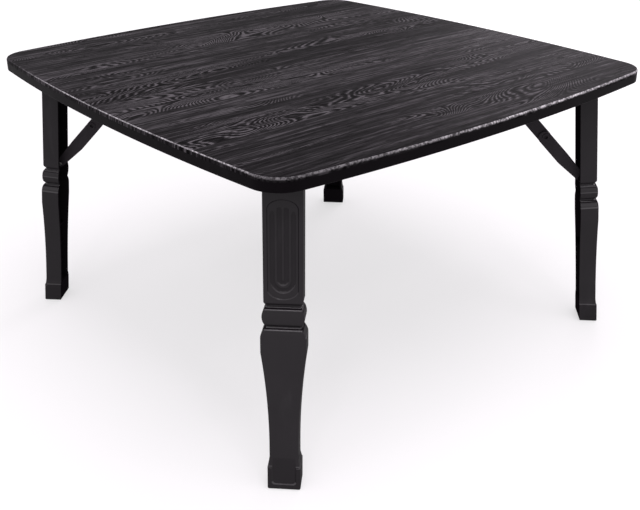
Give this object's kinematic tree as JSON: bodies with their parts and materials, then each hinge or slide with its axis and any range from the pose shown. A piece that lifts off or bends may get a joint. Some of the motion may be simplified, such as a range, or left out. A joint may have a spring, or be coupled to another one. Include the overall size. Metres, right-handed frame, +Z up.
{
  "type": "folding coffee table",
  "caption": "Low square folding table with bowed sides, a dark wood-grain top and moulded baluster legs that fold flat beneath it on jointed steel stays.",
  "frame": {"origin": "on the floor under the middle of the top", "axes": "+Z up; X and Y run along the sides of the top, with the film's grain along X; the legs stand on the diagonals"},
  "size_m": [0.6, 0.6, 0.346],
  "materials": {
    "film_top": "satin charcoal wood-grain film on board",
    "edge_band": "plain black edge strip",
    "moulded_plastic": "satin black moulding",
    "rubber_pad": "matt",
    "black_steel": "black stove enamel",
    "bright_steel": "zinc plated"
  },
  "bodies": {
    "table": {"table_top": "film_top", "edge_band": "edge_band", "leg_plate_front": "black_steel", "stay_stud_front": "bright_steel", "plate_screw_front_1": "bright_steel", "plate_screw_front_2": "bright_steel", "plate_screw_front_3": "bright_steel", "plate_screw_front_4": "bright_steel", "leg_plate_left": "black_steel", "stay_stud_left": "bright_steel", "plate_screw_left_1": "bright_steel", "plate_screw_left_2": "bright_steel", "plate_screw_left_3": "bright_steel", "plate_screw_left_4": "bright_steel", "leg_plate_back": "black_steel", "stay_stud_back": "bright_steel", "plate_screw_back_1": "bright_steel", "plate_screw_back_2": "bright_steel", "plate_screw_back_3": "bright_steel", "plate_screw_back_4": "bright_steel", "leg_plate_right": "black_steel", "stay_stud_right": "bright_steel", "plate_screw_right_1": "bright_steel", "plate_screw_right_2": "bright_steel", "plate_screw_right_3": "bright_steel", "plate_screw_right_4": "bright_steel"},
    "leg_front": {"leg_front": "moulded_plastic", "foot_pad_front": "rubber_pad", "hinge_pin_front": "bright_steel", "link_stud_front": "bright_steel"},
    "lower_link_front": {"lower_link_front": "black_steel", "knee_rivet_front": "bright_steel"},
    "upper_link_front": {"upper_link_front": "black_steel", "knee_collar_front": "bright_steel"},
    "leg_left": {"leg_left": "moulded_plastic", "foot_pad_left": "rubber_pad", "hinge_pin_left": "bright_steel", "link_stud_left": "bright_steel"},
    "lower_link_left": {"lower_link_left": "black_steel", "knee_rivet_left": "bright_steel"},
    "upper_link_left": {"upper_link_left": "black_steel", "knee_collar_left": "bright_steel"},
    "leg_back": {"leg_back": "moulded_plastic", "foot_pad_back": "rubber_pad", "hinge_pin_back": "bright_steel", "link_stud_back": "bright_steel"},
    "lower_link_back": {"lower_link_back": "black_steel", "knee_rivet_back": "bright_steel"},
    "upper_link_back": {"upper_link_back": "black_steel", "knee_collar_back": "bright_steel"},
    "leg_right": {"leg_right": "moulded_plastic", "foot_pad_right": "rubber_pad", "hinge_pin_right": "bright_steel", "link_stud_right": "bright_steel"},
    "lower_link_right": {"lower_link_right": "black_steel", "knee_rivet_right": "bright_steel"},
    "upper_link_right": {"upper_link_right": "black_steel", "knee_collar_right": "bright_steel"}
  },
  "joints": [
    {"name": "leg_front_fold", "type": "hinge", "parent": "table", "child": "leg_front", "pos_m": [-0.2367, -0.2367, 0.314], "axis": [0.7071, -0.7071, 0], "range_deg": [0, 96]},
    {"name": "lower_link_front_turn", "type": "hinge", "parent": "leg_front", "child": "lower_link_front", "pos_m": [-0.24169, -0.24169, 0.19911], "axis": [0.7071, -0.7071, 0], "range_deg": [-143.46, 0]},
    {"name": "upper_link_front_turn", "type": "hinge", "parent": "table", "child": "upper_link_front", "pos_m": [-0.16387, -0.16387, 0.319], "axis": [0.7071, -0.7071, 0], "range_deg": [0, 132.56]},
    {"name": "leg_left_fold", "type": "hinge", "parent": "table", "child": "leg_left", "pos_m": [-0.2367, 0.2367, 0.314], "axis": [-0.7071, -0.7071, 0], "range_deg": [0, 96]},
    {"name": "lower_link_left_turn", "type": "hinge", "parent": "leg_left", "child": "lower_link_left", "pos_m": [-0.24169, 0.24169, 0.19911], "axis": [-0.7071, -0.7071, 0], "range_deg": [-143.46, 0]},
    {"name": "upper_link_left_turn", "type": "hinge", "parent": "table", "child": "upper_link_left", "pos_m": [-0.16387, 0.16387, 0.319], "axis": [-0.7071, -0.7071, 0], "range_deg": [0, 132.56]},
    {"name": "leg_back_fold", "type": "hinge", "parent": "table", "child": "leg_back", "pos_m": [0.2367, 0.2367, 0.314], "axis": [-0.7071, 0.7071, 0], "range_deg": [0, 96]},
    {"name": "lower_link_back_turn", "type": "hinge", "parent": "leg_back", "child": "lower_link_back", "pos_m": [0.24169, 0.24169, 0.19911], "axis": [-0.7071, 0.7071, 0], "range_deg": [-143.46, 0]},
    {"name": "upper_link_back_turn", "type": "hinge", "parent": "table", "child": "upper_link_back", "pos_m": [0.16387, 0.16387, 0.319], "axis": [-0.7071, 0.7071, 0], "range_deg": [0, 132.56]},
    {"name": "leg_right_fold", "type": "hinge", "parent": "table", "child": "leg_right", "pos_m": [0.2367, -0.2367, 0.314], "axis": [0.7071, 0.7071, 0], "range_deg": [0, 96]},
    {"name": "lower_link_right_turn", "type": "hinge", "parent": "leg_right", "child": "lower_link_right", "pos_m": [0.24169, -0.24169, 0.19911], "axis": [0.7071, 0.7071, 0], "range_deg": [-143.46, 0]},
    {"name": "upper_link_right_turn", "type": "hinge", "parent": "table", "child": "upper_link_right", "pos_m": [0.16387, -0.16387, 0.319], "axis": [0.7071, 0.7071, 0], "range_deg": [0, 132.56]}
  ],
  "couplings": [
    {"joint": "lower_link_front_turn", "follows": "leg_front_fold", "ratio": -1.4943},
    {"joint": "upper_link_front_turn", "follows": "leg_front_fold", "ratio": 1.3807},
    {"joint": "lower_link_left_turn", "follows": "leg_left_fold", "ratio": -1.4943},
    {"joint": "upper_link_left_turn", "follows": "leg_left_fold", "ratio": 1.3807},
    {"joint": "lower_link_back_turn", "follows": "leg_back_fold", "ratio": -1.4943},
    {"joint": "upper_link_back_turn", "follows": "leg_back_fold", "ratio": 1.3807},
    {"joint": "lower_link_right_turn", "follows": "leg_right_fold", "ratio": -1.4943},
    {"joint": "upper_link_right_turn", "follows": "leg_right_fold", "ratio": 1.3807}
  ]
}
